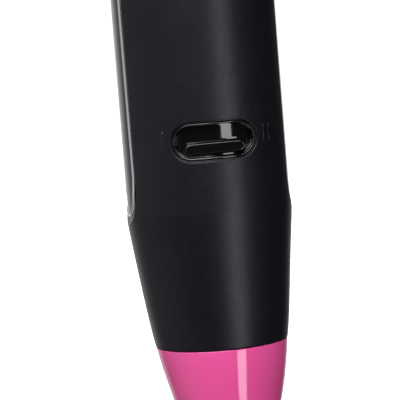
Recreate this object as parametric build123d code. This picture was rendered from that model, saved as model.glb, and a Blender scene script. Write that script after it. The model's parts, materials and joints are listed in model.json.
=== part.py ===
from build123d import *

import math
import os

# Folding hair dryer with a mains-voltage selector, as separate sub-parts. Millimetres, +Z up.
#
# Row frame: the origin is the centre of the cord inlet's mouth, at the handle's lower end. +X is the way
# the air blows. The barrel lies parallel to X, and the handle leans back from the origin by RAKE degrees.
#
# Two working frames keep the sums short. The handle frame has z along the handle from the inlet, x towards
# its front and y across it. The barrel frame has x along the barrel, with x = 0 above the fold pivot and
# z = 0 on its axis.

# ---- Driving dimensions --------------------------------------------------------------------------
RAKE = 4.6  # lean of the handle from upright, degrees
PIVOT_Z = 136.0  # fold pivot, along the handle from the cord inlet
BARREL_RISE = 52.0  # barrel axis above the fold pivot
WALL = 2.0  # handle shell wall
SEAM_Z = 28.5  # where the tail cap meets the shells
WAIST_Z = 56.5  # widest place, where the taper to the tail starts
GRIP_A = 17.05  # half depth of the grip, front to back
GRIP_B = 15.4  # half thickness of the grip, side to side

# Elliptical sections: place along the handle, half depth, half thickness, and how far forward the middle is.
# The back of the tail draws in more than its front, so the middle moves forward below the waist.
TAPER = [
    (28.5, 13.6, 12.6, 0.45),
    (33.5, 14.38, 13.2, 0.35),
    (41.0, 15.3, 13.95, 0.18),
    (49.5, 16.3, 14.8, 0.05),
    (56.5, 17.05, 15.4, 0.0),
]
TAIL = [
    (0.0, 6.0, 6.0, 0.0),
    (4.0, 7.6, 7.5, 0.45),
    (10.0, 9.45, 9.1, 0.85),
    (19.0, 11.75, 11.05, 0.86),
    (28.2, 13.5, 12.5, 0.47),
]
CAVITY = [(12.0, 7.2, 6.9, 0.88), (19.0, 9.0, 8.4, 0.88), (28.2, 9.9, 9.1, 0.47)]
SEAM_FORWARD = TAPER[0][3]

# Oval lip on the tail cap, which plugs into the shells.
LIP_A = 10.6
LIP_B = 9.8
LIP_WALL = 1.4
LIP_HEIGHT = 5.0

# Fold hinge: two ears on the barrel hold the knuckle on the handle.
EAR_R = 17.05
EAR_INNER_Y = 10.2
EAR_OUTER_Y = 15.2
EAR_GAP = 0.4  # between an ear's rim and the handle shells
KNUCKLE_R = 14.9
KNUCKLE_Y = 9.9
KNUCKLE_CLEARANCE = 0.6
PIN_R = 2.5
PIN_RUNNING = 0.05
CAP_R = 8.9
CAP_SEAT = 1.2  # depth of the cap's seat in the ear
NECK_FLAT = 18.3  # underside of the neck above the pivot, which clears the handle's front when it folds
FOLD_TRAVEL = 85.0  # degrees
DETENT_R = 2.0
DETENT_AT = (-6.5, 7.0)  # across and up from the pivot
DETENT_FLOOR_Y = 2.0

# Inlays at the front and the back of the grip.
INLAY_HALF = 5.0
INLAY_END_Z = 56.3
INLAY_TAPER = 0.018  # how fast the sides draw in towards the pivot
INLAY_SINK = 0.42
INLAY_THICK = 1.7
INLAY_FIT = 0.1
FLANGE_EXTRA = 1.3  # how far an inlay's inner flange reaches behind the shells
FLANGE_THICK = 1.2
# Flat ledge that the shells leave round an inlay, as (distance from the handle's axis, along the handle).
# It runs out to the surface below the inlay's rounded end.
LEDGE = [(15.5, 64.0), (15.95, 57.5), (16.45, 55.2), (16.85, 53.6), (17.0, 52.0)]
LEDGE_HALF = 8.0

# Voltage selector, in the right shell. Its surfaces are arcs about the grip's centre of curvature.
SLOT_Z = 71.0
SLOT_W = 17.1
SLOT_H = 7.6
SLOT_BEVEL = 0.35
ARC_R = GRIP_A**2 / GRIP_B
ARC_Y = ARC_R - GRIP_B
BEZEL_SINK = 0.3
BEZEL_WALL = 0.4
FLOOR_DEPTH = 1.7
FLOOR_THICK = 1.2
BAR_W = 12.9
BAR_H = 2.75
BAR_DROP = 1.45
BAR_TOP = 14.42  # from the handle's middle plane to the bar's flat top
BAR_RUNNING = 0.12  # between the bar and the curved floor
BAR_DRAFT = 12.0  # slope of the bar's sides, degrees
BAR_SOFT = 0.2
STEM_W = 5.0
STEM_H = 1.3
SELECTOR_TRAVEL = 2.4  # degrees either way

# Power slider and cool-shot button, in the rear panel.
POWER_Z = 105.0  # middle of the knob, switched off
POWER_TRAVEL = 8.0
KNOB_LENGTH = 8.0
KNOB_WIDTH = 6.6
KNOB_HEIGHT = 1.9
POWER_STEM = 3.6
COOL_Z = 121.3
COOL_R = 2.9
COOL_TRAVEL = 0.8
CARRIAGE_X = -13.05  # back of the slider's carriage and of the button's collar, clear of the curved panel
SWITCH_FACE_X = -12.0
BOARD_X = -6.9
BOARD_THICK = 1.2
TERMINAL_Z = (101, 107, 113)  # the power switch's terminals, in two columns
TERMINAL_Y = 2.6

# Handle screws: place across and along the handle.
HANDLE_SCREWS = [(7.5, 49.0), (8.0, 88.0), (3.0, 112.0)]
KNUCKLE_SCREW = HANDLE_SCREWS[2]  # this one also passes through the knuckle's tongue
SCREW_SEAT_Y = 10.9
NECK_SCREWS = [(-19.5, -32.5), (14.0, -28.0)]  # through the saddle, in the barrel frame
SCREW_R = 1.4
SCREW_HOLE_R = 1.55
SCREW_HEAD_R = 2.7
SCREW_HEAD_H = 1.6
BOSS_R = 3.2

# Barrel.
BARREL_WALL = 2.2
BARREL_REAR_X = -44.0
BARREL_FRONT_X = 80.0
BARREL_OUTLINE = [
    (-44.0, 30.0),
    (-34.0, 32.4),
    (-18.0, 33.0),
    (2.0, 32.8),
    (26.0, 31.2),
    (52.0, 28.0),
    (80.0, 24.6),
]
SPIGOT_R = 22.2
SPIGOT_BORE = 20.6
SPIGOT_END_X = 94.0
NOZZLE_MOUTH_X = 121.0
MOUTH_HALF_W = 28.0
MOUTH_HALF_H = 5.6
NOZZLE_WALL = 1.5
NOZZLE_PLAY = 0.3

# Motor, fan and heater.
MOTOR_R = 14.0
MOTOR_REAR_X = -10.0
MOTOR_FRONT_X = 18.0
MOTOR_CAN_WALL = 0.9
SHAFT_R = 1.15
SHAFT_RUNNING = 0.05
FAN_REAR_X = -31.0
FAN_FRONT_X = -17.0
FAN_HUB_R = 12.5
FAN_TIP_R = 27.6
FAN_BLADES = 7
SLEEVE_R = 20.0
SLEEVE_REAR_X = 30.0
HEATER_REAR_X = 34.0
HEATER_FRONT_X = 74.0
MICA_HALF = 18.2
MICA_THICK = 0.8
COIL_WIRE_R = 0.45
COIL_NOTCH = 1.5
COIL_PITCH = 4.4
OUTER_COIL = (17.9, 36.0, 8)  # radius, start along the barrel, turns
INNER_COIL = (11.0, 38.2, 7)

# Hanging ring, on a lug at the back of the tail.
RING_X = -10.8
RING_PIVOT_Z = 6.0
RING_HALF_W = 9.0
RING_DROP = 19.0
RING_WIRE_R = 1.2
RING_PLAY = 0.3

# Cord inlet bushing.
GLAND_R = 4.4
GLAND_BORE_R = 3.2
GLAND_LENGTH = 12.0

FAR = 200.0  # longer than any part, for cutting tools

# ---- Frames --------------------------------------------------------------------------------------
HANDLE = Location((0, 0, 0), (0, -RAKE, 0))
PIVOT = Vector(-PIVOT_Z * math.sin(math.radians(RAKE)), 0, PIVOT_Z * math.cos(math.radians(RAKE)))
BARREL = Location((PIVOT.X, 0, PIVOT.Z + BARREL_RISE))


# ---- Helpers -------------------------------------------------------------------------------------
def block(x0, x1, y0, y1, z0, z1):
    """A box from its low and high corners."""
    return Pos((x0 + x1) / 2, (y0 + y1) / 2, (z0 + z1) / 2) * Box(x1 - x0, y1 - y0, z1 - z0)


def rod_x(radius, x0, x1, y=0.0, z=0.0):
    """A solid cylinder along X."""
    return Pos((x0 + x1) / 2, y, z) * Rot(0, 90, 0) * Cylinder(radius, x1 - x0)


def rod_y(radius, y0, y1, x=0.0, z=0.0):
    """A solid cylinder along Y."""
    return Pos(x, (y0 + y1) / 2, z) * Rot(90, 0, 0) * Cylinder(radius, y1 - y0)


def rod_z(radius, z0, z1, x=0.0, y=0.0):
    """A solid cylinder along Z."""
    return Pos(x, y, (z0 + z1) / 2) * Cylinder(radius, z1 - z0)


def tube_x(outer, inner, x0, x1):
    """A tube round the X axis."""
    return rod_x(outer, x0, x1) - rod_x(inner, x0 - 1, x1 + 1)


def turned(*edges):
    """A solid turned round the X axis from edges drawn in the XZ plane, as (x, radius)."""
    return revolve(Plane.XZ * make_face(edges), Axis.X, 360)


def turned_outline(outline, inset):
    """The solid inside an outline of (x, radius) points joined by a smooth curve, less a wall."""
    points = [(x, r - inset) for x, r in outline]
    curve = Spline(*points)
    (first_x, _), (last_x, _) = points[0], points[-1]
    ends = Polyline(points[-1], (last_x, 0), (first_x, 0), points[0])
    return turned(curve, *ends.edges())


def lofted(stations, inset=0.0):
    """The smooth solid through elliptical sections (z, half depth, half thickness, middle), less a wall."""
    return loft([Pos(x, 0, z) * Ellipse(a - inset, b - inset) for z, a, b, x in stations])


def grip(inset=0.0, bottom=SEAM_Z, top=PIVOT_Z):
    """The handle's outer form from the seam to the pivot, less a wall."""
    upper = extrude(Pos(0, 0, WAIST_Z) * Ellipse(GRIP_A - inset, GRIP_B - inset), PIVOT_Z - WAIST_Z)
    form = lofted(TAPER, inset) + upper
    return form & block(-FAR, FAR, -FAR, FAR, bottom, top)


def stadium_y(width, height, y0, y1, z=0.0):
    """A stadium prism along Y, wide in X."""
    face = Plane.XZ * SlotOverall(width, height)
    return Pos(0, y1, z) * extrude(face, y1 - y0)


def across(face, y0, y1):
    """A face in the XZ plane made solid from y0 to y1."""
    return Pos(0, y1, 0) * extrude(face, y1 - y0)


def tongue_face(half, bottom, x=0.0):
    """An inlay's outline at x: a round lower end, and sides that draw in and run up past the pivot."""
    centre, top = bottom + half, PIVOT_Z + 10
    narrow = half - INLAY_TAPER * (top - centre)
    arc = ThreePointArc((half, centre), (0, bottom), (-half, centre))
    lines = Polyline((-half, centre), (-narrow, top), (narrow, top), (half, centre))
    return Pos(x, 0, 0) * (Plane.YZ * make_face([arc, *lines.edges()]))


def tongue(half, bottom, x0, x1):
    """An inlay's outline made solid from x0 to x1."""
    return extrude(tongue_face(half, bottom, x0), x1 - x0)


def arc_shell(outer, inner):
    """The space between two arcs about the voltage selector's centre of curvature."""
    low, high = SLOT_Z - 20, SLOT_Z + 20
    return rod_z(outer, low, high, 0, ARC_Y) - rod_z(inner, low - 1, high + 1, 0, ARC_Y)


def mirrored(shape):
    """The same shape on the other side of the handle's middle plane."""
    return mirror(shape, Plane.XZ)


def screw_y(x, z, head_y, tip_y):
    """A pan-head screw along Y, its head at head_y and its tip at tip_y, with a cross recess."""
    way = math.copysign(1, head_y - tip_y)
    seat_y = head_y - way * SCREW_HEAD_H
    head = rod_y(SCREW_HEAD_R, min(head_y, seat_y), max(head_y, seat_y), x, z)
    shank = rod_y(SCREW_R, min(head_y, tip_y), max(head_y, tip_y), x, z)
    recess = Pos(x, head_y, z) * (Box(0.6, 1.4, 3.0) + Box(3.0, 1.4, 0.6))
    return head + shank - recess


# ---- Handle --------------------------------------------------------------------------------------
def inlay_cut(side):
    """The opening for an inlay and the ledge round it. side is +1 at the front and -1 at the back."""
    opening = tongue(INLAY_HALF + INLAY_FIT, INLAY_END_Z - INLAY_FIT, GRIP_A - 6, GRIP_A + 3)
    (first_x, first_z), (last_x, last_z) = LEDGE[0], LEDGE[-1]
    far_x, top = GRIP_A + 3, PIVOT_Z + 10
    around = Polyline((last_x, last_z), (far_x, last_z), (far_x, top), (first_x, top), (first_x, first_z))
    face = Plane.XZ * make_face([Spline(*LEDGE), *around.edges()])
    cut = opening + across(face, -LEDGE_HALF, LEDGE_HALF)
    return cut if side > 0 else mirror(cut, Plane.YZ)


def handle_shells():
    """The left and right half shells, with bosses, screw holes, inlay openings and the selector's slot."""
    outer = grip()
    shell = outer - grip(WALL, SEAM_Z - 1)
    shell -= inlay_cut(1) + inlay_cut(-1)
    arc = rod_y(EAR_R + EAR_GAP, -FAR, FAR, 0, PIVOT_Z)
    shell -= arc
    room = outer - arc
    right = shell & block(-FAR, FAR, -FAR, 0, -FAR, FAR)
    left = shell & block(-FAR, FAR, 0, FAR, -FAR, FAR)
    for x, z in HANDLE_SCREWS:
        near = KNUCKLE_Y + 0.1 if z > 100 else 0.0
        right += rod_y(BOSS_R, -FAR, -near, x, z) & room
        left += rod_y(BOSS_R, near, FAR, x, z) & room
    saddle = block(-7.5, 7.5, -FAR, -3.4, 36, 41) & room
    right += saddle
    for x, z in HANDLE_SCREWS:
        right -= rod_y(SCREW_HOLE_R, -SCREW_SEAT_Y, 1, x, z)
        left -= rod_y(SCREW_HOLE_R, -1, FAR, x, z) + rod_y(SCREW_HEAD_R + 0.2, SCREW_SEAT_Y, FAR, x, z)
    for x in (-5.5, 5.5):
        right -= rod_y(1.1, -9, -3, x, 38.5)
    right -= stadium_y(SLOT_W, SLOT_H, -FAR, 0, SLOT_Z)
    right -= selector_bevel()
    return right, left


def selector_bevel():
    """The fine bevel round the selector's slot, following the curve of the shell."""
    grown = stadium_y(SLOT_W + 2 * SLOT_BEVEL, SLOT_H + 2 * SLOT_BEVEL, -FAR, 0, SLOT_Z)
    return grown & arc_shell(ARC_R + 5, ARC_R - SLOT_BEVEL)


def inlay(side):
    """An inlay tongue with its inner flange, without windows."""
    skin = grip(INLAY_SINK) - grip(INLAY_SINK + INLAY_THICK)
    plate = skin & tongue(INLAY_HALF, INLAY_END_Z, 5, FAR)
    under = WALL + 0.1
    back = grip(under) - grip(under + FLANGE_THICK)
    flange = back & tongue(INLAY_HALF + FLANGE_EXTRA, INLAY_END_Z - FLANGE_EXTRA, 5, FAR)
    core = (grip(INLAY_SINK + 1) - grip(under + 0.5)) & tongue(INLAY_HALF, INLAY_END_Z, 5, FAR)
    piece = plate + core + flange
    piece -= rod_y(EAR_R + EAR_GAP, -FAR, FAR, 0, PIVOT_Z)
    return piece if side > 0 else mirror(piece, Plane.YZ)


def front_grip():
    """The front inlay, with grip ribs across it."""
    piece = inlay(1)
    for i in range(12):
        piece -= rod_y(0.45, -3.2, 3.2, GRIP_A - INLAY_SINK + 0.15, 66 + 4.6 * i)
    return piece


def switch_panel():
    """The rear inlay, with the slider's window and the button's hole."""
    low = POWER_Z - POWER_STEM / 2 - 0.4
    high = POWER_Z + POWER_TRAVEL + POWER_STEM / 2 + 0.4
    window = block(-FAR, -5, -POWER_STEM / 2 - 0.3, POWER_STEM / 2 + 0.3, low, high)
    hole = rod_x(COOL_R + 0.25, -FAR, -5, 0, COOL_Z)
    return inlay(-1) - window - hole


def power_slider():
    """Ribbed knob on a stem, with the carriage that slides behind the panel."""
    face = -(GRIP_A - INLAY_SINK)
    base = face - 0.3
    half = KNOB_LENGTH / 2
    knob = block(base - KNOB_HEIGHT, base, -KNOB_WIDTH / 2, KNOB_WIDTH / 2, POWER_Z - half, POWER_Z + half)
    knob = fillet(knob.edges().filter_by(Axis.X), 1.6)
    knob = fillet(knob.faces().sort_by(Axis.X)[0].edges(), 0.7)
    for i in range(-2, 3):
        knob -= rod_y(0.4, -FAR, FAR, base - KNOB_HEIGHT, POWER_Z + 1.4 * i)
    wide = POWER_STEM / 2
    stem = block(base - 0.5, CARRIAGE_X + 1.9, -wide, wide, POWER_Z - wide, POWER_Z + wide)
    carriage = block(CARRIAGE_X, CARRIAGE_X + 0.7, -3.4, 3.4, POWER_Z - 5.5, POWER_Z + 4.0)
    return knob + stem + carriage


def cool_shot_button():
    """Round domed button with a retaining collar behind the panel."""
    face = -(GRIP_A - INLAY_SINK)
    button = rod_x(COOL_R, face - 1.1, CARRIAGE_X + 0.4, 0, COOL_Z)
    button = fillet(button.faces().sort_by(Axis.X)[0].edges(), 0.6)
    collar = rod_x(COOL_R + 0.7, CARRIAGE_X, CARRIAGE_X + 0.6, 0, COOL_Z)
    return button + collar


def power_switch():
    """Slide switch behind the rear panel, with a slot for the slider's stem."""
    wide = POWER_STEM / 2 + 0.3
    back = SWITCH_FACE_X + 4.4
    body = block(SWITCH_FACE_X, back, -4.2, 4.2, 97.0, 117.6)
    low, high = POWER_Z - 2.4, POWER_Z + POWER_TRAVEL + 2.4
    slot = block(SWITCH_FACE_X - 1, SWITCH_FACE_X + 1.4, -wide, wide, low, high)
    for y in (-TERMINAL_Y, TERMINAL_Y):
        for z in TERMINAL_Z:
            body += block(back - 0.1, BOARD_X + BOARD_THICK + 0.2, y - 0.4, y + 0.4, z, z + 1.6)
    return body - slot


def cool_shot_switch():
    """Small tact switch behind the cool-shot button, on two pins in the board."""
    face = CARRIAGE_X + 0.6 + COOL_TRAVEL + 1.25
    body = block(face, face + 2.0, -3.0, 3.0, COOL_Z - 1.9, COOL_Z + 1.9)
    body += rod_x(1.2, face - 1.2, face + 0.1, 0, COOL_Z)
    for y in (-2.0, 2.0):
        body += block(face + 1.9, BOARD_X + BOARD_THICK + 0.2, y - 0.25, y + 0.25, COOL_Z - 1.6, COOL_Z - 1.1)
    return body


def control_board():
    """Board behind the switches, with a capacitor and a dropper resistor."""
    board = block(BOARD_X, BOARD_X + BOARD_THICK, -6.0, 6.0, 76.5, 120.5)
    for y in (-TERMINAL_Y, TERMINAL_Y):
        for z in TERMINAL_Z:
            board -= block(-8, -4, y - 0.7, y + 0.7, z - 0.4, z + 2.0)
    for y in (-2.0, 2.0):
        board -= block(-8, -4, y - 0.5, y + 0.5, COOL_Z - 1.9, COOL_Z)
    capacitor = rod_z(2.6, 79, 91, BOARD_X + BOARD_THICK + 2.4, 0)
    resistor = rod_y(1.2, -4.5, 4.5, BOARD_X + BOARD_THICK + 1.1, 95.5)
    return board + capacitor + resistor


def voltage_bezel():
    """Glossy cup in the selector's slot: a rim, and a curved floor with a slot for the slider's stem."""
    play = 0.1
    outside = stadium_y(SLOT_W - 2 * play, SLOT_H - 2 * play, -FAR, 0, SLOT_Z)
    inside = stadium_y(
        SLOT_W - 2 * play - 2 * BEZEL_WALL, SLOT_H - 2 * play - 2 * BEZEL_WALL, -FAR, 0, SLOT_Z
    )
    floor_r = ARC_R - FLOOR_DEPTH
    cup = outside & arc_shell(ARC_R - BEZEL_SINK, floor_r - FLOOR_THICK)
    cup -= inside & arc_shell(ARC_R + 5, floor_r)
    skirt = stadium_y(SLOT_W + 2, SLOT_H + 3, -FAR, 0, SLOT_Z)
    flange = skirt & arc_shell(floor_r - 0.45, floor_r - FLOOR_THICK)
    reach = STEM_W / 2 + math.radians(SELECTOR_TRAVEL) * floor_r + 0.3
    slot = stadium_y(2 * reach, STEM_H + 0.5, -FAR, 0, SLOT_Z - BAR_DROP)
    return cup + flange - slot


def voltage_slider():
    """Raised bar that slides round the curved floor, with its stem."""
    floor_r = ARC_R - FLOOR_DEPTH
    centre = SLOT_Z - BAR_DROP
    foot_y = ARC_Y - math.sqrt(floor_r**2 - (BAR_W / 2) ** 2)
    outline = Pos(0, foot_y, centre) * (Plane.XZ * SlotOverall(BAR_W, BAR_H))
    bar = extrude(outline, BAR_TOP + foot_y, taper=BAR_DRAFT)
    bar -= rod_z(floor_r + BAR_RUNNING, SLOT_Z - 20, SLOT_Z + 20, 0, ARC_Y)
    bar = fillet(bar.faces().sort_by(Axis.Y)[0].edges(), BAR_SOFT)
    stem = stadium_y(STEM_W, STEM_H, -FAR, 0, centre) & arc_shell(floor_r + 0.6, floor_r - 4.2)
    return bar + stem


def voltage_switch():
    """Switch body behind the selector, open where the slider's stem moves."""
    body = block(-6.5, 6.5, -11.0, -6.4, SLOT_Z - 5.2, SLOT_Z + 4.8)
    reach = STEM_W / 2 + 2.0
    cavity = block(-reach, reach, -12.5, -8.4, SLOT_Z - BAR_DROP - 1.2, SLOT_Z - BAR_DROP + 1.2)
    lugs = [block(x - 0.4, x + 0.4, -6.4, -3.6, SLOT_Z - 1, SLOT_Z + 1) for x in (-4.5, 0, 4.5)]
    return body - cavity + lugs


def tail_cap():
    """Glossy tapered cap with a socket lip inside the shells, and a lug for the hanging ring."""
    cap = lofted(TAIL) - lofted(CAVITY)
    lip_start = TAIL[-1][0] - 0.8
    middle = Pos(SEAM_FORWARD, 0, lip_start)
    outside = extrude(middle * Ellipse(LIP_A, LIP_B), LIP_HEIGHT)
    inside = extrude(middle * Pos(0, 0, -1) * Ellipse(LIP_A - LIP_WALL, LIP_B - LIP_WALL), LIP_HEIGHT + 2)
    lug = block(RING_X - 0.6, -5.0, -2.6, 2.6, 2.6, 9.4) + rod_y(3.4, -2.6, 2.6, RING_X, RING_PIVOT_Z)
    cap += (outside - inside) + lug
    cap -= rod_y(RING_WIRE_R + RING_PLAY, -FAR, FAR, RING_X, RING_PIVOT_Z)
    cap -= rod_z(GLAND_R, -1, GLAND_LENGTH + 1)
    return cap


def cord_gland():
    """Rubber bushing that lines the cord inlet, with a collar inside the cap."""
    bush = rod_z(GLAND_R, 0, GLAND_LENGTH) + rod_z(GLAND_R + 1.1, GLAND_LENGTH, GLAND_LENGTH + 1.2)
    return bush - rod_z(GLAND_BORE_R, -1, GLAND_LENGTH + 3)


def hang_ring():
    """Rounded wire ring whose top bar turns in the lug."""
    centre_z = RING_PIVOT_Z - RING_DROP / 2
    path = Plane.YZ * RectangleRounded(2 * RING_HALF_W, RING_DROP, 5)
    wire = path.wires()[0]
    section = Plane(wire @ 0, z_dir=wire % 0) * Circle(RING_WIRE_R)
    return Pos(RING_X, 0, centre_z) * sweep(section, wire)


def cord_clamp():
    """Bar that grips a cord against the saddle in the right shell."""
    bar = block(-7.5, 7.5, 3.0, 5.6, 36, 41)
    bar -= rod_z(3.4, 30, 50, 0, 0)
    for x in (-5.5, 5.5):
        bar -= rod_y(1.5, 0, 8, x, 38.5)
    return bar


def clamp_screws():
    """The two screws of the cord clamp."""
    pair = []
    for x in (-5.5, 5.5):
        pair.append(rod_y(1.0, -8, 5.6, x, 38.5) + rod_y(1.9, 5.6, 6.8, x, 38.5))
    return pair


def handle_screws():
    """Three screws, driven from the left."""
    return [screw_y(x, z, SCREW_SEAT_Y + SCREW_HEAD_H, -9.5) for x, z in HANDLE_SCREWS]


def hinge_knuckle():
    """Drum that turns between the ears, with the tongue that the shells clamp."""
    drum = rod_y(KNUCKLE_R, -KNUCKLE_Y, KNUCKLE_Y, 0, PIVOT_Z)
    stalk = block(-5.2, 10.0, -KNUCKLE_Y, KNUCKLE_Y, 104, PIVOT_Z - 8)
    drum += stalk
    drum -= rod_y(PIN_R + PIN_RUNNING, -FAR, FAR, 0, PIVOT_Z)
    drum -= rod_y(SCREW_HOLE_R, -FAR, FAR, *KNUCKLE_SCREW)
    x, z = DETENT_AT
    drum -= rod_y(DETENT_R + 0.1, -FAR, -DETENT_FLOOR_Y, x, PIVOT_Z + z)
    return drum


def detent_ball():
    """Ball that the spring holds against the right ear."""
    x, z = DETENT_AT
    return Pos(x, -EAR_INNER_Y + 0.15 + DETENT_R, PIVOT_Z + z) * Sphere(DETENT_R)


def detent_spring():
    """Closed-wound spring behind the detent ball."""
    x, z = DETENT_AT
    wire = 0.35
    first = -DETENT_FLOOR_Y - wire
    return [Pos(x, first - 2.05 * wire * i, PIVOT_Z + z) * Rot(90, 0, 0) * Torus(1.4, wire) for i in range(5)]


def power_leads():
    """Two short leads from the clamp to the board."""
    leads = []
    for y in (-1.3, 1.3):
        route = [(0, y, 42), (0, y, 47), (-3.0, 2 * y, 55), (-4.6, 2 * y, 61), (-4.6, 2 * y, 66)]
        path = FilletPolyline(*route, radius=3)
        leads.append(sweep(Plane(path @ 0, z_dir=path % 0) * Circle(0.9), path))
    return leads


# ---- Barrel --------------------------------------------------------------------------------------
def ear_outline(with_disc=True):
    """The side outline of the ears and of the saddle that joins them, in the barrel frame."""
    back = ThreePointArc((-EAR_R, 0), (-19.4, 12), (-27, 24))
    front = ThreePointArc((24.5, 27), (18.5, 20.2), (10, NECK_FLAT))
    top = Polyline((-27, 24), (-27, 34), (24.5, 34), (24.5, 27))
    under = Polyline((10, NECK_FLAT), (3, NECK_FLAT), (3, 15.5), (0, 0), (-EAR_R, 0))
    face = make_face([back, front, *top.edges(), *under.edges()])
    if with_disc:
        face += Circle(EAR_R)
    return Pos(0, 0, -BARREL_RISE) * (Plane.XZ * face)


def barrel_shells():
    """The two half shells, with the hinge ears and the saddle between them."""
    inside = turned_outline(BARREL_OUTLINE, BARREL_WALL)
    body = turned_outline(BARREL_OUTLINE, 0)
    for y0, y1 in ((-EAR_OUTER_Y, -EAR_INNER_Y), (EAR_INNER_Y, EAR_OUTER_Y)):
        body += across(ear_outline(), y0, y1)
    saddle = across(ear_outline(with_disc=False), -EAR_INNER_Y, EAR_INNER_Y)
    saddle -= rod_y(KNUCKLE_R + KNUCKLE_CLEARANCE, -EAR_INNER_Y, EAR_INNER_Y, 0, -BARREL_RISE)
    body += saddle
    body -= inside
    body -= rod_y(PIN_R, -FAR, FAR, 0, -BARREL_RISE)
    seat = EAR_OUTER_Y - CAP_SEAT
    body -= rod_y(CAP_R + 0.1, -FAR, -seat, 0, -BARREL_RISE) + rod_y(CAP_R + 0.1, seat, FAR, 0, -BARREL_RISE)
    for angle in (0, FOLD_TRAVEL):
        body -= Pos(0, 0, -BARREL_RISE) * Rot(0, -RAKE - angle, 0) * detent_dimple()
    for x, z in NECK_SCREWS:
        body -= rod_y(SCREW_HOLE_R, -9, FAR, x, z)
        body -= rod_y(SCREW_HEAD_R + 0.2, SCREW_SEAT_Y, FAR, x, z)
    right = body & block(-FAR, FAR, -FAR, 0, -FAR, FAR)
    left = body & block(-FAR, FAR, 0, FAR, -FAR, FAR)
    return right, left


def detent_dimple():
    """The hollow in the right ear where the detent ball rests, about the pivot."""
    x, z = DETENT_AT
    return Pos(x, -EAR_INNER_Y + DETENT_R + 0.15, z) * Sphere(DETENT_R + 0.5)


def neck_screws():
    """Two screws through the saddle, driven from the left."""
    return [screw_y(x, z, SCREW_SEAT_Y + SCREW_HEAD_H, -8.5) for x, z in NECK_SCREWS]


def hinge_pin():
    """Steel pin through both ears and the knuckle."""
    half = EAR_OUTER_Y - CAP_SEAT - 0.1
    return rod_y(PIN_R, -half, half, 0, -BARREL_RISE)


def hinge_cap(side):
    """Domed cap that closes an ear."""
    disc = rod_y(CAP_R, EAR_OUTER_Y - CAP_SEAT, EAR_OUTER_Y + 0.5, 0, -BARREL_RISE)
    disc = fillet(disc.faces().sort_by(Axis.Y)[-1].edges(), 0.45)
    return disc if side > 0 else mirrored(disc)


def rear_trim_ring():
    """Glossy ring that holds the rear ends of the half shells together."""
    band = tube_x(30.6, 26.3, BARREL_REAR_X - 2.6, BARREL_REAR_X - 0.1)
    band = fillet(band.edges().filter_by(GeomType.CIRCLE).group_by(SortBy.RADIUS)[-1], 0.8)
    lip = tube_x(27.6, 26.3, BARREL_REAR_X - 0.2, BARREL_REAR_X + 4)
    return band + lip


def rear_grille():
    """Domed intake grille with ring slots and radial ribs, and the sleeve that clips into the trim ring."""
    rim_x = BARREL_REAR_X - 2.8
    outline = [(-11.6, 0.5), (-11.4, 9.0), (-10.2, 17.5), (-7.2, 24.5), (-3.0, 28.8), (0, 30.0)]
    dome = Pos(rim_x, 0, 0) * turned_outline(outline, 0)
    hollow = Pos(2.0, 0, 0) * dome
    cutter = None
    for i in range(6):
        r = 5.0 + 3.4 * i
        ring = tube_x(r + 2.0, r, rim_x - 20, rim_x)
        cutter = ring if cutter is None else cutter + ring
    for i in range(5):
        cutter -= Rot(36 * i, 0, 0) * block(rim_x - 21, rim_x + 1, -40, 40, -0.8, 0.8)
    shell = (dome - hollow) & block(rim_x - 20, rim_x, -40, 40, -40, 40)
    shell -= cutter
    sleeve = tube_x(26.0, 24.6, rim_x - 3.0, rim_x + 6.0)
    seat = tube_x(29.4, 24.6, rim_x - 1.6, rim_x)
    return shell + sleeve + seat


def filter_mesh():
    """Fine round screen in a rim, inside the grille's sleeve."""
    x = BARREL_REAR_X - 2.8
    rim = tube_x(24.4, 22.8, x, x + 1.6)
    screen = rod_x(23.2, x + 0.6, x + 0.9)
    return rim + screen


def outlet_ring():
    """Front ring: a flange on the shells' ends, and the spigot that carries the nozzle."""
    flange = tube_x(24.6, SPIGOT_BORE, BARREL_FRONT_X + 0.1, BARREL_FRONT_X + 2.4)
    flange = fillet(flange.edges().filter_by(GeomType.CIRCLE).group_by(SortBy.RADIUS)[-1], 0.7)
    spigot = tube_x(SPIGOT_R, SPIGOT_BORE, BARREL_FRONT_X + 0.1, SPIGOT_END_X)
    lip = tube_x(22.2, SPIGOT_BORE, BARREL_FRONT_X - 6, BARREL_FRONT_X + 1)
    return flange + spigot + lip


def outlet_grille():
    """Guard across the outlet: three rings on eight spokes."""
    x0, x1 = BARREL_FRONT_X + 2.4, BARREL_FRONT_X + 4.4
    guard = tube_x(20.5, 19.4, x0, x1) + rod_x(2.6, x0, x1)
    for r in (8.0, 14.0):
        guard += tube_x(r + 1.1, r, x0, x1)
    for i in range(4):
        guard += Rot(45 * i, 0, 0) * block(x0, x1, -0.55, 0.55, -19.8, 19.8)
    return guard


def heat_sleeve():
    """Insulating tube round the heater."""
    return tube_x(SLEEVE_R, SLEEVE_R - 0.6, SLEEVE_REAR_X, BARREL_FRONT_X - 1)


def coil_crossings(coil):
    """Where a coil crosses the mica plates: every quarter turn, along the barrel, across and up."""
    radius, start, turns = coil
    for i in range(4 * turns + 1):
        angle = math.radians(90 * i)
        yield start + COIL_PITCH * i / 4, radius * math.sin(angle), -radius * math.cos(angle)


def heater_frame():
    """Two crossed mica plates, notched and drilled for the coils."""
    half = MICA_THICK / 2
    plates = block(HEATER_REAR_X, HEATER_FRONT_X, -half, half, -MICA_HALF, MICA_HALF)
    plates += block(HEATER_REAR_X, HEATER_FRONT_X, -MICA_HALF, MICA_HALF, -half, half)
    notches = [Pos(*place) * Box(COIL_NOTCH, COIL_NOTCH, COIL_NOTCH)
               for coil in (OUTER_COIL, INNER_COIL) for place in coil_crossings(coil)]
    return plates - notches


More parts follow.
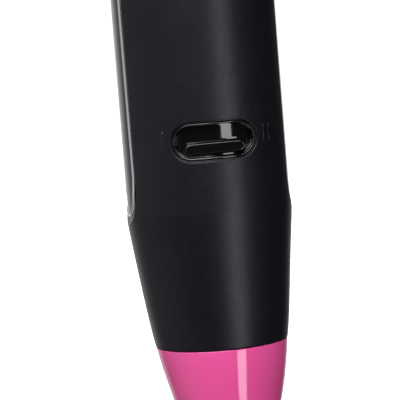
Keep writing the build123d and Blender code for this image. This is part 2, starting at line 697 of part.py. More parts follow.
def heater_coil(coil):
    """One heating element, wound round the barrel's axis."""
    radius, start, turns = coil
    path = Helix(COIL_PITCH, COIL_PITCH * turns, radius)
    wire = sweep(Plane(path @ 0, z_dir=path % 0) * Circle(COIL_WIRE_R), path, is_frenet=True)
    return Pos(start, 0, 0) * Rot(0, 90, 0) * wire


def thermostat():
    """Bimetal cut-out on the upright mica plate."""
    base = block(HEATER_REAR_X - 0.5, HEATER_REAR_X + 1.3, 0.5, 3.5, 1.0, 10.0)
    blade = block(HEATER_REAR_X - 2.0, HEATER_REAR_X - 0.4, 1.2, 2.8, 1.6, 9.4)
    return base + blade


def thermal_fuse():
    """Axial thermal fuse beside the thermostat."""
    body = rod_x(1.7, HEATER_REAR_X - 8.0, HEATER_REAR_X - 0.5, 10.5, 6.0)
    return body + rod_x(0.4, HEATER_REAR_X - 9.0, HEATER_REAR_X + 1.5, 10.5, 6.0)


def fan_housing():
    """Duct ring, guide vanes and the cup that holds the motor."""
    duct = tube_x(29.6, 28.3, FAN_REAR_X - 1.0, 10.0)
    cup = tube_x(MOTOR_R + 1.5, MOTOR_R + 0.05, -8.0, 10.0)
    vane = Pos(1.0, 0, 21.7) * Rot(0, 0, 24) * Box(14.0, 1.2, 13.4)
    for i in range(6):
        duct += Rot(60 * i + 30, 0, 0) * vane
    return duct + cup - rod_x(MOTOR_R + 0.05, -20, 20)


def fan_impeller():
    """Axial impeller with a domed hub and pitched blades."""
    hub = rod_x(FAN_HUB_R, FAN_REAR_X, FAN_FRONT_X)
    hub = fillet(hub.faces().sort_by(Axis.X)[0].edges(), 4.5)
    middle = (FAN_REAR_X + FAN_FRONT_X) / 2
    span = FAN_TIP_R - FAN_HUB_R + 1.0
    blade = Pos(middle, 0, FAN_HUB_R - 1.0 + span / 2) * Rot(0, 0, 38) * Box(15.0, 1.3, span)
    blade &= rod_x(FAN_TIP_R, FAN_REAR_X, FAN_FRONT_X)
    for i in range(FAN_BLADES):
        hub += Rot(i * 360 / FAN_BLADES, 0, 0) * blade
    hub -= rod_x(FAN_HUB_R - 2, FAN_REAR_X + 5, FAN_FRONT_X + 1) - rod_x(3.4, FAN_REAR_X, FAN_FRONT_X)
    return hub - rod_x(SHAFT_R, FAN_REAR_X + 2, FAN_FRONT_X + 1)


def motor_shaft():
    """Steel shaft from the fan hub through both bushes."""
    return rod_x(SHAFT_R, FAN_REAR_X + 2.5, MOTOR_FRONT_X + 3.5)


def motor_can():
    """Drawn steel can, closed at the fan end round the rear bush."""
    can = rod_x(MOTOR_R, MOTOR_REAR_X, MOTOR_FRONT_X)
    can -= rod_x(MOTOR_R - MOTOR_CAN_WALL, MOTOR_REAR_X + MOTOR_CAN_WALL, MOTOR_FRONT_X + 1)
    return can - rod_x(3.5, MOTOR_REAR_X - 1, MOTOR_REAR_X + 2)


def motor_magnets():
    """Two arc magnets inside the can."""
    ring = tube_x(MOTOR_R - 0.95, MOTOR_R - 3.2, MOTOR_REAR_X + 3, MOTOR_FRONT_X - 4)
    gap = block(-50, 50, -2.5, 2.5, -50, 50)
    return ring - gap


def motor_armature():
    """Three-pole armature and its commutator."""
    stack = rod_x(3.4, MOTOR_REAR_X + 4, MOTOR_FRONT_X - 5)
    shoes = tube_x(10.3, 8.4, MOTOR_REAR_X + 4, MOTOR_FRONT_X - 5)
    for i in range(3):
        stack += Rot(120 * i, 0, 0) * block(MOTOR_REAR_X + 4, MOTOR_FRONT_X - 5, -1.8, 1.8, 0, 9)
        shoes -= Rot(120 * i + 60, 0, 0) * block(-50, 50, -1.0, 1.0, 0, 50)
    commutator = rod_x(3.0, MOTOR_FRONT_X - 5, MOTOR_FRONT_X - 1)
    return stack + shoes + commutator - rod_x(SHAFT_R, -50, 50)


def motor_bushes():
    """Sintered bushes at each end of the motor."""
    rear = tube_x(3.5, SHAFT_R + SHAFT_RUNNING, MOTOR_REAR_X - 1.4, MOTOR_REAR_X + 1.6)
    front = tube_x(3.5, SHAFT_R + SHAFT_RUNNING, MOTOR_FRONT_X, MOTOR_FRONT_X + 2.6)
    return [rear, front]


def motor_end_cap():
    """Moulded end cap with two brush terminals."""
    cap = tube_x(MOTOR_R - 1.0, 3.5, MOTOR_FRONT_X - 0.8, MOTOR_FRONT_X)
    cap += tube_x(MOTOR_R, 3.5, MOTOR_FRONT_X, MOTOR_FRONT_X + 1.6)
    for y in (-9, 9):
        cap += block(MOTOR_FRONT_X + 1, MOTOR_FRONT_X + 5.4, y - 0.4, y + 0.4, -1.5, 1.5)
    return cap


def rectifier_board():
    """Round board on the motor terminals, with four diodes."""
    x = MOTOR_FRONT_X + 3.7
    board = tube_x(12.5, 2.2, x, x + 1.2)
    for y in (-9, 9):
        board -= block(x - 1, x + 2, y - 0.6, y + 0.6, -1.7, 1.7)
    for i in range(4):
        board += Rot(45 + 90 * i, 0, 0) * (Pos(x + 2.2, 0, 7.5) * Rot(90, 0, 0) * Cylinder(1.2, 4.4))
    return board


# ---- Nozzle --------------------------------------------------------------------------------------
def nozzle_collar():
    """Glossy collar that pushes on to the spigot and lets the nozzle turn."""
    start = BARREL_FRONT_X + 2.8
    collar = tube_x(SPIGOT_R + NOZZLE_PLAY + 1.4, SPIGOT_R + NOZZLE_PLAY, start, SPIGOT_END_X - 1)
    flange = tube_x(25.6, SPIGOT_R + NOZZLE_PLAY, start, start + 3.0)
    flange = fillet(flange.edges().filter_by(GeomType.CIRCLE).group_by(SortBy.RADIUS)[-1], 0.7)
    return collar + flange


def concentrator_nozzle():
    """Round at the collar, drawn out to a wide flat mouth."""
    start = BARREL_FRONT_X + 6.1
    blend = SPIGOT_END_X + 1.0
    inner_r = SPIGOT_R + 2 * NOZZLE_PLAY + 1.4
    outer_r = inner_r + NOZZLE_WALL

    def section(x, half_w, half_h):
        return Pos(x, 0, 0) * (Plane.YZ * Ellipse(half_w, half_h))

    def horn(wall):
        middle = (blend + NOZZLE_MOUTH_X) / 2
        return loft([
            section(blend, outer_r - wall, outer_r - wall),
            section(middle, (outer_r + MOUTH_HALF_W) / 2 - wall + 0.4, 14.6 - wall),
            section(NOZZLE_MOUTH_X, MOUTH_HALF_W - wall, MOUTH_HALF_H - wall),
        ])

    barrel_end = rod_x(outer_r, start, blend) - rod_x(inner_r, start - 1, blend + 1)
    hollow = horn(NOZZLE_WALL)
    return barrel_end + (horn(0) - hollow)


# ---- All the parts -------------------------------------------------------------------------------
def handle_parts():
    right, left = handle_shells()
    return {
        "handle_shell_right": right,
        "handle_shell_left": left,
        "front_grip": front_grip(),
        "switch_panel": switch_panel(),
        "power_slider": power_slider(),
        "power_switch": power_switch(),
        "cool_shot_button": cool_shot_button(),
        "cool_shot_switch": cool_shot_switch(),
        "control_board": control_board(),
        "voltage_bezel": voltage_bezel(),
        "voltage_slider": voltage_slider(),
        "voltage_switch": voltage_switch(),
        "tail_cap": tail_cap(),
        "cord_gland": cord_gland(),
        "cord_clamp": cord_clamp(),
        "clamp_screws": clamp_screws(),
        "hang_ring": hang_ring(),
        "handle_screws": handle_screws(),
        "hinge_knuckle": hinge_knuckle(),
        "detent_ball": detent_ball(),
        "detent_spring": detent_spring(),
        "power_leads": power_leads(),
    }


def barrel_parts():
    right, left = barrel_shells()
    return {
        "barrel_shell_right": right,
        "barrel_shell_left": left,
        "neck_screws": neck_screws(),
        "hinge_pin": hinge_pin(),
        "hinge_cap_right": hinge_cap(-1),
        "hinge_cap_left": hinge_cap(1),
        "rear_trim_ring": rear_trim_ring(),
        "rear_grille": rear_grille(),
        "filter_mesh": filter_mesh(),
        "outlet_ring": outlet_ring(),
        "outlet_grille": outlet_grille(),
        "heat_sleeve": heat_sleeve(),
        "heater_frame": heater_frame(),
        "heater_coil_outer": heater_coil(OUTER_COIL),
        "heater_coil_inner": heater_coil(INNER_COIL),
        "thermostat": thermostat(),
        "thermal_fuse": thermal_fuse(),
        "fan_housing": fan_housing(),
        "fan_impeller": fan_impeller(),
        "motor_shaft": motor_shaft(),
        "motor_can": motor_can(),
        "motor_magnets": motor_magnets(),
        "motor_armature": motor_armature(),
        "motor_bushes": motor_bushes(),
        "motor_end_cap": motor_end_cap(),
        "rectifier_board": rectifier_board(),
        "nozzle_collar": nozzle_collar(),
        "concentrator_nozzle": concentrator_nozzle(),
    }


def write(parts, frame):
    """Each sub-part as one STEP file, moved into the row frame."""
    for name, shape in parts.items():
        solids = shape if isinstance(shape, list) else shape.solids()
        solids = [solid for piece in solids for solid in piece.solids()]
        export_step(frame * Compound(children=solids), f"parts/{name}.step")


os.makedirs("parts", exist_ok=True)
write(handle_parts(), HANDLE)
write(barrel_parts(), BARREL)
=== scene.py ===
"""A folding hair dryer with a voltage selector in its grip, dressed for a product picture on white."""
import json
import math

import bpy
from mathutils import Matrix, Vector


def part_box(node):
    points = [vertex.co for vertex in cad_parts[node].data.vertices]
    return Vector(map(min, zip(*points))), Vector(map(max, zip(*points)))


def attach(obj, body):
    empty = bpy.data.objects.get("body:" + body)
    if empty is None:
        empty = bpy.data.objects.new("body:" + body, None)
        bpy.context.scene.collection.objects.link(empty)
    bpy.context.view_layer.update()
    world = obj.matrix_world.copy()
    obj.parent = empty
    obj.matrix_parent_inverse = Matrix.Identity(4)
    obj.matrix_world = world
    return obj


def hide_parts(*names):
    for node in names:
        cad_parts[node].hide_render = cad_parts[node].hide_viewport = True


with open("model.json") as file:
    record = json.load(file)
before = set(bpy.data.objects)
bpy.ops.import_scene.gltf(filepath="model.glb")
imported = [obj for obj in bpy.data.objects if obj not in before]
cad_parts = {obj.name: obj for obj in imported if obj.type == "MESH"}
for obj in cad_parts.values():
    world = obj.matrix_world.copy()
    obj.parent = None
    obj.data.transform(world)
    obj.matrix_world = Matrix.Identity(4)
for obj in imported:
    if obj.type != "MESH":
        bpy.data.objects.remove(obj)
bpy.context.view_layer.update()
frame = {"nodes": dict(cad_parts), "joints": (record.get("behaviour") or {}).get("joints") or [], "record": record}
NODES = frame["nodes"]
JOINTS = {joint["name"]: joint for joint in frame["joints"]}
SLOTS = {part["node"]: part["material_slot"] for part in frame["record"]["subparts"]}
MM = 0.001

# ---- The handle's frame: z runs along the handle, the way its power slider moves -------------------
HANDLE_UP = Vector(JOINTS["power_slide"]["axis"]).normalized()
RAKE = math.atan2(-HANDLE_UP.x, HANDLE_UP.z)
HANDLE = Matrix.Rotation(-RAKE, 4, "Y")

# ---- Camera ---------------------------------------------------------------------------------------
CAMERA_AZIMUTH = math.radians(-9.0)
CAMERA_ELEVATION = math.radians(6.0)
CAMERA_DISTANCE = 0.700  # in metres
VIEW_WIDTH = 0.08147  # width of the picture at the object, in metres
SENSOR = 36.0  # in millimetres
AIM = Vector((-1.74, 0.0, 57.67))  # where the camera looks, in the handle's frame, in millimetres


def toward(azimuth, elevation):
    """The unit vector from the object towards a place round it. Azimuth 0 is in front, at -Y."""
    flat = math.cos(elevation)
    return Vector((math.sin(azimuth) * flat, -math.cos(azimuth) * flat, math.sin(elevation)))


def add_camera():
    data = bpy.data.cameras.new("camera")
    data.sensor_width = SENSOR
    data.lens = SENSOR * CAMERA_DISTANCE / VIEW_WIDTH
    data.clip_start, data.clip_end = 0.05, 50.0
    camera = bpy.data.objects.new("camera", data)
    bpy.context.scene.collection.objects.link(camera)
    back = toward(CAMERA_AZIMUTH, CAMERA_ELEVATION)
    camera.location = HANDLE @ (AIM * MM) + CAMERA_DISTANCE * back
    camera.rotation_euler = back.to_track_quat("Z", "Y").to_euler()
    bpy.context.scene.camera = camera


# ---- Node helpers ---------------------------------------------------------------------------------
class Nodes:
    """A material's or world's node tree, with short ways to add nodes and join them."""

    def __init__(self, owner):
        owner.use_nodes = True
        self.tree = owner.node_tree
        self.tree.nodes.clear()

    def add(self, kind, settings=None, **inputs):
        """A new node. Each input takes a value, or a link from another node's output."""
        node = self.tree.nodes.new(kind)
        for name, value in (settings or {}).items():
            setattr(node, name, value)
        for name, value in inputs.items():
            self.put(node, name.replace("_", " "), value)
        return node

    def put(self, node, name, value):
        """Fills one input, which is given by its name or its number."""
        socket = node.inputs[int(name)] if name.isdigit() else node.inputs[name]
        if isinstance(value, bpy.types.NodeSocket):
            self.tree.links.new(value, socket)
        else:
            socket.default_value = value

    def math(self, operation, a, b):
        node = self.add("ShaderNodeMath", {"operation": operation})
        self.put(node, "0", a)
        self.put(node, "1", b)
        return node.outputs[0]

    def ramp(self, value, *stops):
        """A colour ramp through (position, colour) stops."""
        node = self.tree.nodes.new("ShaderNodeValToRGB")
        elements = node.color_ramp.elements
        while len(elements) < len(stops):
            elements.new(0.5)
        for element, (position, colour) in zip(elements, stops):
            element.position = position
            element.color = (*colour, 1)
        self.tree.links.new(value, node.inputs[0])
        return node.outputs[0]

    def spread(self, value, low, high, to_low, to_high):
        """value, moved from one range to another."""
        node = self.tree.nodes.new("ShaderNodeMapRange")
        for name, number in zip("01234", (value, low, high, to_low, to_high)):
            self.put(node, name, number)
        return node.outputs[0]

    def noise(self, scale, detail, roughness=0.5):
        """Noise over a piece, about scale bumps to the metre."""
        place = self.add("ShaderNodeTexCoord").outputs["Object"]
        node = self.add("ShaderNodeTexNoise", Vector=place, Scale=scale, Detail=detail, Roughness=roughness)
        return node.outputs["Fac"]

    def bump(self, height, distance, normal=None):
        """The surface's normal with a relief on it, laid over an earlier normal where there is one."""
        node = self.add("ShaderNodeBump", Strength=1.0, Distance=distance, Height=height)
        if normal:
            self.put(node, "Normal", normal)
        return node.outputs["Normal"]


# ---- Materials ------------------------------------------------------------------------------------
DRIFT_SCALE = 90.0  # the colour's drift, in bumps to the metre
CLOUD_SCALE = 900.0  # the roughness's drift
EDGE_SAMPLES = 6

# One look for each slot of the record.
LOOKS = {
    "satin_black": dict(
        colours=[(0.0030, 0.0027, 0.0044), (0.0040, 0.0036, 0.0056)],
        roughness=(0.35, 0.41),
        grain=(0.00012, 0.000004),
        edge=0.22 * MM,
        Specular_IOR_Level=0.27,
        Specular_Tint=(0.93, 0.88, 1.0, 1.0),
    ),
    "gloss_black": dict(
        colours=[(0.0016, 0.0016, 0.0019), (0.0024, 0.0023, 0.0028)],
        roughness=(0.06, 0.09),
        edge=0.12 * MM,
    ),
    "gloss_pink": dict(
        colours=[(0.575, 0.062, 0.228), (0.600, 0.070, 0.243)],
        roughness=(0.045, 0.075),
        waves=(0.004, 0.000003),
        edge=0.30 * MM,
    ),
    "black_rubber": dict(
        colours=[(0.012, 0.012, 0.013), (0.02, 0.02, 0.021)],
        roughness=(0.6, 0.75),
        grain=(0.0003, 0.00001),
    ),
    "inner_plastic": dict(
        colours=[(0.025, 0.025, 0.027), (0.035, 0.035, 0.037)],
        roughness=(0.42, 0.55),
        grain=(0.0002, 0.000005),
    ),
    "steel": dict(
        colours=[(0.68, 0.68, 0.69), (0.74, 0.74, 0.74)],
        roughness=(0.20, 0.28),
        grain=(0.00025, 0.0000006),
        Metallic=1.0,
    ),
    "heating_wire": dict(
        colours=[(0.22, 0.17, 0.14), (0.38, 0.32, 0.29)],
        roughness=(0.35, 0.55),
        grain=(0.0002, 0.000004),
        Metallic=1.0,
    ),
    "mica": dict(
        colours=[(0.50, 0.42, 0.29), (0.68, 0.62, 0.48)],
        roughness=(0.35, 0.6),
        grain=(0.0005, 0.00003),
    ),
    "circuit_board": dict(
        colours=[(0.012, 0.12, 0.05), (0.02, 0.17, 0.07)],
        roughness=(0.28, 0.4),
        grain=(0.0004, 0.00001),
    ),
    "lead_insulation": dict(
        colours=[(0.42, 0.42, 0.42), (0.52, 0.52, 0.52)],
        roughness=(0.35, 0.45),
    ),
    "ferrite": dict(
        colours=[(0.03, 0.03, 0.033), (0.06, 0.06, 0.065)],
        roughness=(0.45, 0.6),
        grain=(0.0003, 0.00001),
    ),
    "bronze": dict(
        colours=[(0.45, 0.30, 0.15), (0.6, 0.42, 0.22)],
        roughness=(0.35, 0.5),
        grain=(0.0003, 0.00001),
        Metallic=1.0,
    ),
    "fan_plastic": dict(
        colours=[(0.62, 0.62, 0.6), (0.72, 0.72, 0.7)],
        roughness=(0.4, 0.5),
        grain=(0.0002, 0.000005),
    ),
}


def surface(name, colours, roughness, grain=None, waves=None, edge=0.0, **fixed):
    """A material whose colour and roughness drift a little, with a fine grain and a slow wave in its surface.

    colours and roughness are (low, high). grain and waves are (size in metres, depth in metres). edge is the
    radius of the soft edges that a moulding tool leaves."""
    material = bpy.data.materials.new(name)
    nodes = Nodes(material)
    low_colour, high_colour = colours
    drift = nodes.noise(DRIFT_SCALE, detail=3.0)
    cloud = nodes.noise(CLOUD_SCALE, detail=4.0, roughness=0.6)
    shader = nodes.add(
        "ShaderNodeBsdfPrincipled",
        Base_Color=nodes.ramp(drift, (0.3, low_colour), (0.7, high_colour)),
        Roughness=nodes.spread(cloud, 0.35, 0.65, *roughness),
        **fixed,
    )
    normal = None
    if edge:
        normal = nodes.add("ShaderNodeBevel", {"samples": EDGE_SAMPLES}, Radius=edge).outputs[0]
    if waves:
        size, depth = waves
        normal = nodes.bump(nodes.noise(1 / size, detail=1.0), depth, normal)
    if grain:
        size, depth = grain
        normal = nodes.bump(nodes.noise(1 / size, detail=2.0, roughness=0.6), depth, normal)
    if normal:
        nodes.put(shader, "Normal", normal)
    nodes.add("ShaderNodeOutputMaterial", Surface=shader.outputs[0])
    return material


def make_materials():
    """One material for each slot of the record."""
    return {slot: surface(slot, **look) for slot, look in LOOKS.items()}


# ---- CAD nodes ------------------------------------------------------------------------------------
def dress(node, materials):
    """Gives a CAD node its slot's material."""
    piece = NODES[node]
    piece.data.materials.clear()
    piece.data.materials.append(materials[SLOTS[node]])


# ---- Meshes ---------------------------------------------------------------------------------------
ROUND_STEPS = 5  # round a quarter circle


def add_piece(name, points, faces, body, slot, materials, stands_for=()):
    """A smooth mesh from points in the handle's frame, in millimetres, riding on a body."""
    mesh = bpy.data.meshes.new(name)
    mesh.from_pydata([HANDLE @ (Vector(point) * MM) for point in points], [], faces)
    for polygon in mesh.polygons:
        polygon.use_smooth = True
    mesh.validate()
    mesh.materials.append(materials[slot])
    piece = bpy.data.objects.new(name, mesh)
    bpy.context.scene.collection.objects.link(piece)
    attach(piece, body)
    for node in stands_for:
        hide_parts(node)


def stadium(width, height, count=96):
    """Points round a stadium, evenly spaced, as (across, up)."""
    radius = height / 2
    straight = width / 2 - radius
    side, half_turn = 2 * straight, math.pi * radius
    points = []
    for i in range(count):
        run = (2 * side + 2 * half_turn) * i / count
        end = 1
        if run > side + half_turn:
            run -= side + half_turn
            end = -1
        if run < side:
            x, z = straight - run, radius
        else:
            angle = math.pi / 2 + (run - side) / radius
            x, z = -straight + radius * math.cos(angle), radius * math.sin(angle)
        points.append((end * x, end * z))
    return points


def ring_faces(rings, count, close_first=False):
    """The faces between rings of points. The last ring is closed, and the first where asked."""
    faces = []
    for ring in range(rings - 1):
        for i in range(count):
            j = (i + 1) % count
            low, high = ring * count, (ring + 1) * count
            faces.append((low + i, low + j, high + j, high + i))
    if close_first:
        faces.append(tuple(reversed(range(count))))
    faces.append(tuple(range((rings - 1) * count, rings * count)))
    return faces


def rounded(start, end):
    """Points round a quarter circle from start to end, as (inward, depth). It sets out along the depth."""
    (x0, d0), (x1, d1) = start, end
    turn = [math.pi / 2 * i / ROUND_STEPS for i in range(ROUND_STEPS + 1)]
    return [(x0 + (x1 - x0) * (1 - math.cos(t)), d0 + (d1 - d0) * math.sin(t)) for t in turn]


# ---- Voltage selector -----------------------------------------------------------------------------
# In millimetres. Its surfaces are arcs round the selector's joint, and depths go in from the grip's surface.
SELECTOR = HANDLE.inverted() @ Vector(JOINTS["voltage_select"]["pos_m"]) / MM
BEZEL_SINK = 0.3  # how far the cup's rim lies under the grip's surface
SURFACE_R = SELECTOR.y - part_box("voltage_bezel")[0].y / MM + BEZEL_SINK
SLOT_WIDTH = 17.1
SLOT_HEIGHT = 7.6
BEZEL_PLAY = 0.1  # gap round the cup in its slot
RIM_WIDTH = 0.42
FLOOR_DEPTH = 1.7
FLOOR_FILLET = 0.22
FLOOR_MIDDLE = 0.03  # half the height of the floor's innermost ring
FLOOR_RINGS = 10
CUP_BASE = 0.3  # how far the outer wall goes in past the floor
BAR_WIDTH = 12.9
BAR_HEIGHT = 2.75
BAR_DROP = 1.45  # how far the bar's middle is below the slot's
BAR_SLOPE = 0.42  # how far the skirt leans in
BAR_EDGE = 0.12  # width of the soft edge round the top
BAR_TOP = 14.42  # how far the bar's flat top is from the handle's middle
BAR_RUNNING = 0.12  # gap under the bar
SKIRT_FOOT = 0.04  # how far the skirt leans in before its slope
# Shares of the bar's height: where the skirt's slope starts, and how much the slope climbs.
SKIRT_START = 0.12
SKIRT_CLIMB = 0.80
SKIRT_STEPS = 4


def on_arc(x, depth):
    """Where a point on the selector's arcs lies across the handle."""
    return SELECTOR.y - math.sqrt((SURFACE_R - depth) ** 2 - x * x)


def add_bezel(materials):
    """The glossy cup: outer wall, rounded rim, inner wall, fillet and curved floor."""
    half = RIM_WIDTH / 2
    crest = (half, BEZEL_SINK)
    outer_round = rounded((0.0, BEZEL_SINK + half), crest)
    inner_round = rounded((RIM_WIDTH, BEZEL_SINK + half), crest)
    wall_foot = (RIM_WIDTH, FLOOR_DEPTH - FLOOR_FILLET)
    floor_start = (RIM_WIDTH + FLOOR_FILLET, FLOOR_DEPTH)
    steps = [(0.0, FLOOR_DEPTH + CUP_BASE)] + outer_round
    steps += inner_round[-2::-1]
    steps += rounded(wall_foot, floor_start)
    width = SLOT_WIDTH - 2 * BEZEL_PLAY
    height = SLOT_HEIGHT - 2 * BEZEL_PLAY
    first = floor_start[0]
    last = height / 2 - FLOOR_MIDDLE
    steps += [(first + (last - first) * i / FLOOR_RINGS, FLOOR_DEPTH) for i in range(1, FLOOR_RINGS + 1)]
    points = []
    for inward, depth in steps:
        ring = stadium(width - 2 * inward, height - 2 * inward)
        points += [(x, on_arc(x, depth), SELECTOR.z + z) for x, z in ring]
    faces = ring_faces(len(steps), len(ring))
    add_piece("selector_bezel", points, faces, "handle", "gloss_black", materials, ["voltage_bezel"])


def add_selector_bar(materials):
    """The bar: a sloped skirt round a flat top, with a soft edge between them. It is open underneath.

    Each level is (inward, share of the bar's height)."""
    levels = [(0.0, 0.0), (SKIRT_FOOT, SKIRT_START)]
    for i in range(1, SKIRT_STEPS + 1):
        climb = i / SKIRT_STEPS
        levels.append((BAR_SLOPE * climb, SKIRT_START + SKIRT_CLIMB * climb))
    levels.append((BAR_SLOPE + 0.35 * BAR_EDGE, 0.965))  # partway round the soft edge
    levels += [(BAR_SLOPE + BAR_EDGE, 1.0), (BAR_SLOPE + 2 * BAR_EDGE, 1.0)]
    points = []
    for inward, level in levels:
        ring = stadium(BAR_WIDTH - 2 * inward, BAR_HEIGHT - 2 * inward)
        for x, z in ring:
            foot = on_arc(x, FLOOR_DEPTH - BAR_RUNNING)
            points.append((x, foot + (-BAR_TOP - foot) * level, SELECTOR.z - BAR_DROP + z))
    faces = ring_faces(len(levels), len(ring))
    add_piece("selector_bar", points, faces, "selector", "gloss_black", materials, ["voltage_slider"])


# The marks stand on an ellipse with the grip's thickness, which at its side curves as the selector's arcs do.
GRIP_HALF_THICKNESS = -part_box("handle_shell_right")[0].y / MM
GRIP_HALF_DEPTH = math.sqrt(SURFACE_R * GRIP_HALF_THICKNESS)
MARK_HEIGHT = 3.6
MARK_WIDTH = 0.6
MARK_RISE = 0.16  # how far a mark stands proud
MARK_POINTS = 32
# A mark's side: inward from its outline, and proud of the grip.
MARK_SIDE = [(0.0, -0.2), (0.0, MARK_RISE / 2), (0.06, MARK_RISE), (0.15, MARK_RISE)]
MARKS = [(-10.2, 0.6), (10.5, 0.4), (11.7, 0.4)]  # across the handle, and up from the selector


def add_marks(materials):
    """Plain raised strokes beside the selector: one for the low setting and two for the high one."""
    points, faces = [], []
    for across, up in MARKS:
        base = len(points)
        for inward, proud in MARK_SIDE:
            ring = stadium(MARK_HEIGHT - 2 * inward, MARK_WIDTH - 2 * inward, MARK_POINTS)
            for z, x in ring:
                place = across + x
                side = -GRIP_HALF_THICKNESS * math.sqrt(1 - (place / GRIP_HALF_DEPTH) ** 2)
                points.append((place, side - proud, SELECTOR.z + up + z))
        faces += [tuple(base + i for i in face) for face in ring_faces(len(MARK_SIDE), len(ring))]
    add_piece("selector_marks", points, faces, "handle", "gloss_black", materials)


# ---- Highlight bead round the inlay, a painted highlight ------------------------------------------
# In millimetres. A bright steel bead lies on the ledge round the rear inlay. It is a painted highlight: it
# stands in for the bright line that the ledge's edge catches. It runs down one side, round the end and up again.
INLAY_HALF = 5.0  # half the inlay's width at its round end
INLAY_ARC_Z = 61.3  # middle of the round end
INLAY_NARROWING = 0.018  # what half the width loses in each millimetre above that
BEAD_TOP_Z = 128.0
BEAD_STEPS = 24  # down each side
ARC_STEPS = 16  # round each half of the tongue's end
# The ledge beside the inlay: a place along the handle, and how far behind the handle's middle it is there.
LEDGE = [(55.0, 16.5), (57.5, 15.95), (64.0, 15.5), (130.0, 15.5)]
# The bead's section: out from the inlay's edge, and proud of the ledge.
BEAD_SECTION = [
    (0.14, -0.1),
    (0.14, 0.40),
    (0.18, 0.43),
    (0.24, 0.42),
    (0.58, 0.14),
    (0.62, 0.08),
    (0.62, -0.1),
]


def ledge_depth(z):
    """How far the ledge is behind the handle's middle, at a place along the handle."""
    for (z0, x0), (z1, x1) in zip(LEDGE, LEDGE[1:]):
        if z <= z1:
            return x0 + (x1 - x0) * (z - z0) / (z1 - z0)
    return LEDGE[-1][1]


def add_highlight_bead(materials):
    """The painted-highlight bead round the rear inlay. Its path is points on the inlay's edge, each with its
    outward way.
    """
    path = []
    for i in range(BEAD_STEPS):
        z = BEAD_TOP_Z + (INLAY_ARC_Z - BEAD_TOP_Z) * i / BEAD_STEPS
        path.append((INLAY_HALF - INLAY_NARROWING * (z - INLAY_ARC_Z), z, 1.0, 0.0))
    for i in range(ARC_STEPS + 1):
        angle = math.pi / 2 * i / ARC_STEPS
        out_y, out_z = math.cos(angle), -math.sin(angle)
        path.append((INLAY_HALF * out_y, INLAY_ARC_Z + INLAY_HALF * out_z, out_y, out_z))
    path += [(-y, z, -out_y, out_z) for y, z, out_y, out_z in reversed(path[:-1])]
    points = []
    for y, z, out_y, out_z in path:
        for out, rise in BEAD_SECTION:
            place_z = z + out * out_z
            points.append((-(ledge_depth(place_z) + rise), y + out * out_y, place_z))
    faces = ring_faces(len(path), len(BEAD_SECTION), close_first=True)
    # Bright steel on the bead: a painted highlight for the ledge's edge.
    add_piece("inlay_highlight_bead", points, faces, "handle", "steel", materials)


# ---- Stage ----------------------------------------------------------------------------------------
FLOOR_HALF = 6.0  # in metres


def add_floor():
    """A white floor under the hanging ring. It takes no part in reflections or shadows."""
    low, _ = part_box("hang_ring")
    mesh = bpy.data.meshes.new("floor")
    corners = [(-1, -1), (1, -1), (1, 1), (-1, 1)]
    mesh.from_pydata([(x * FLOOR_HALF, y * FLOOR_HALF, low.z) for x, y in corners], [], [(0, 1, 2, 3)])
    floor = bpy.data.objects.new("floor", mesh)
    bpy.context.scene.collection.objects.link(floor)
    material = bpy.data.materials.new("floor")
    nodes = Nodes(material)
    shader = nodes.add(
        "ShaderNodeBsdfPrincipled",
        Base_Color=(0.8, 0.8, 0.8, 1),
        Roughness=0.9,
        Emission_Color=(1, 1, 1, 1),
        Emission_Strength=1.0,
    )
    nodes.add("ShaderNodeOutputMaterial", Surface=shader.outputs[0])
    mesh.materials.append(material)
    floor.visible_glossy = False
    floor.visible_diffuse = False
    floor.visible_shadow = False


BACKDROP_TURN = math.radians(10)  # how far the bright backdrop is turned to the left
# How bright the surroundings are, by the cosine of the angle from straight behind the object.
BACKDROP = [(0.0, 0.045), (0.30, 0.035), (0.52, 0.05), (0.68, 0.14), (0.78, 0.45), (0.88, 1.05), (1.0, 1.3)]
# Two more glows, each by one coordinate of the direction: from and to, and the brightness at each.
LEFT_GLOW = (0.55, 0.98, 0.0, 0.62)  # by how far left
TABLE_GLOW = (-0.55, -0.85, 0.0, 0.85)  # by how far up, so it lies below


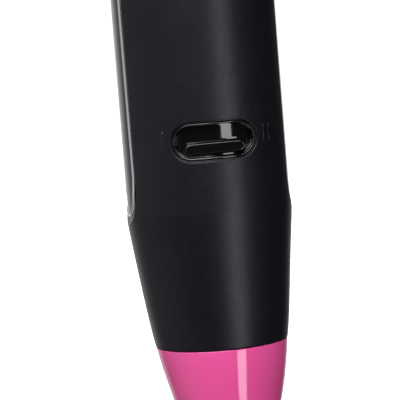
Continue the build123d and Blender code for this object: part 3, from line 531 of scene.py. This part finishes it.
def add_world():
    """Surroundings that only reflections and light see. The camera sees plain white."""
    world = bpy.data.worlds.new("studio")
    bpy.context.scene.world = world
    nodes = Nodes(world)
    way = nodes.add("ShaderNodeTexCoord").outputs["Generated"]
    parts = nodes.add("ShaderNodeSeparateXYZ", Vector=way)
    back = toward(CAMERA_AZIMUTH + BACKDROP_TURN, 0.0)
    behind = nodes.add("ShaderNodeVectorMath", {"operation": "DOT_PRODUCT"})
    nodes.put(behind, "0", way)
    nodes.put(behind, "1", -back)
    glow = nodes.ramp(behind.outputs["Value"], *[(cosine, (grey, grey, grey)) for cosine, grey in BACKDROP])
    left = nodes.spread(nodes.math("MULTIPLY", parts.outputs["X"], -1.0), *LEFT_GLOW)
    table = nodes.spread(parts.outputs["Z"], *TABLE_GLOW)
    brightness = nodes.math("MAXIMUM", nodes.math("ADD", glow, left), table)
    light = nodes.add("ShaderNodeBackground", Strength=brightness)
    white = nodes.add("ShaderNodeBackground", Color=(1, 1, 1, 1), Strength=1.0)
    mix = nodes.add("ShaderNodeMixShader")
    nodes.put(mix, "0", nodes.add("ShaderNodeLightPath").outputs["Is Camera Ray"])
    nodes.put(mix, "1", light.outputs[0])
    nodes.put(mix, "2", white.outputs[0])
    nodes.add("ShaderNodeOutputWorld", Surface=mix.outputs[0])


LIGHT_AIM = Vector((0, 0, 0.06))  # in metres


def add_area(name, azimuth, elevation, distance, width, height, radiance):
    """A rectangular light at an angle in degrees round the object, facing it.

    radiance is the brightness that the light appears to have."""
    data = bpy.data.lights.new(name, "AREA")
    data.shape = "RECTANGLE"
    data.size, data.size_y = width, height
    data.energy = radiance * math.pi * width * height
    light = bpy.data.objects.new(name, data)
    way = toward(math.radians(azimuth), math.radians(elevation))
    light.location = LIGHT_AIM + distance * way
    light.rotation_euler = way.to_track_quat("Z", "Y").to_euler()
    light.visible_camera = False
    bpy.context.scene.collection.objects.link(light)


def add_lights():
    add_area("strip", azimuth=26, elevation=-12, distance=0.6, width=0.15, height=0.54, radiance=6.3)
    add_area("key", azimuth=-38, elevation=57, distance=0.8, width=0.9, height=0.6, radiance=8.4)
    add_area("glow", azimuth=-24, elevation=30, distance=0.33, width=0.28, height=0.20, radiance=3.6)
    add_area("top", azimuth=-10, elevation=75, distance=0.7, width=0.5, height=0.16, radiance=7.0)


def main():
    scene = bpy.context.scene
    scene.view_settings.view_transform = "Standard"
    scene.view_settings.look = "None"
    materials = make_materials()
    for node in NODES:
        dress(node, materials)
    add_bezel(materials)
    add_selector_bar(materials)
    add_marks(materials)
    # The bead round the inlay is a painted highlight.
    add_highlight_bead(materials)
    add_camera()
    add_floor()
    add_world()
    add_lights()


main()
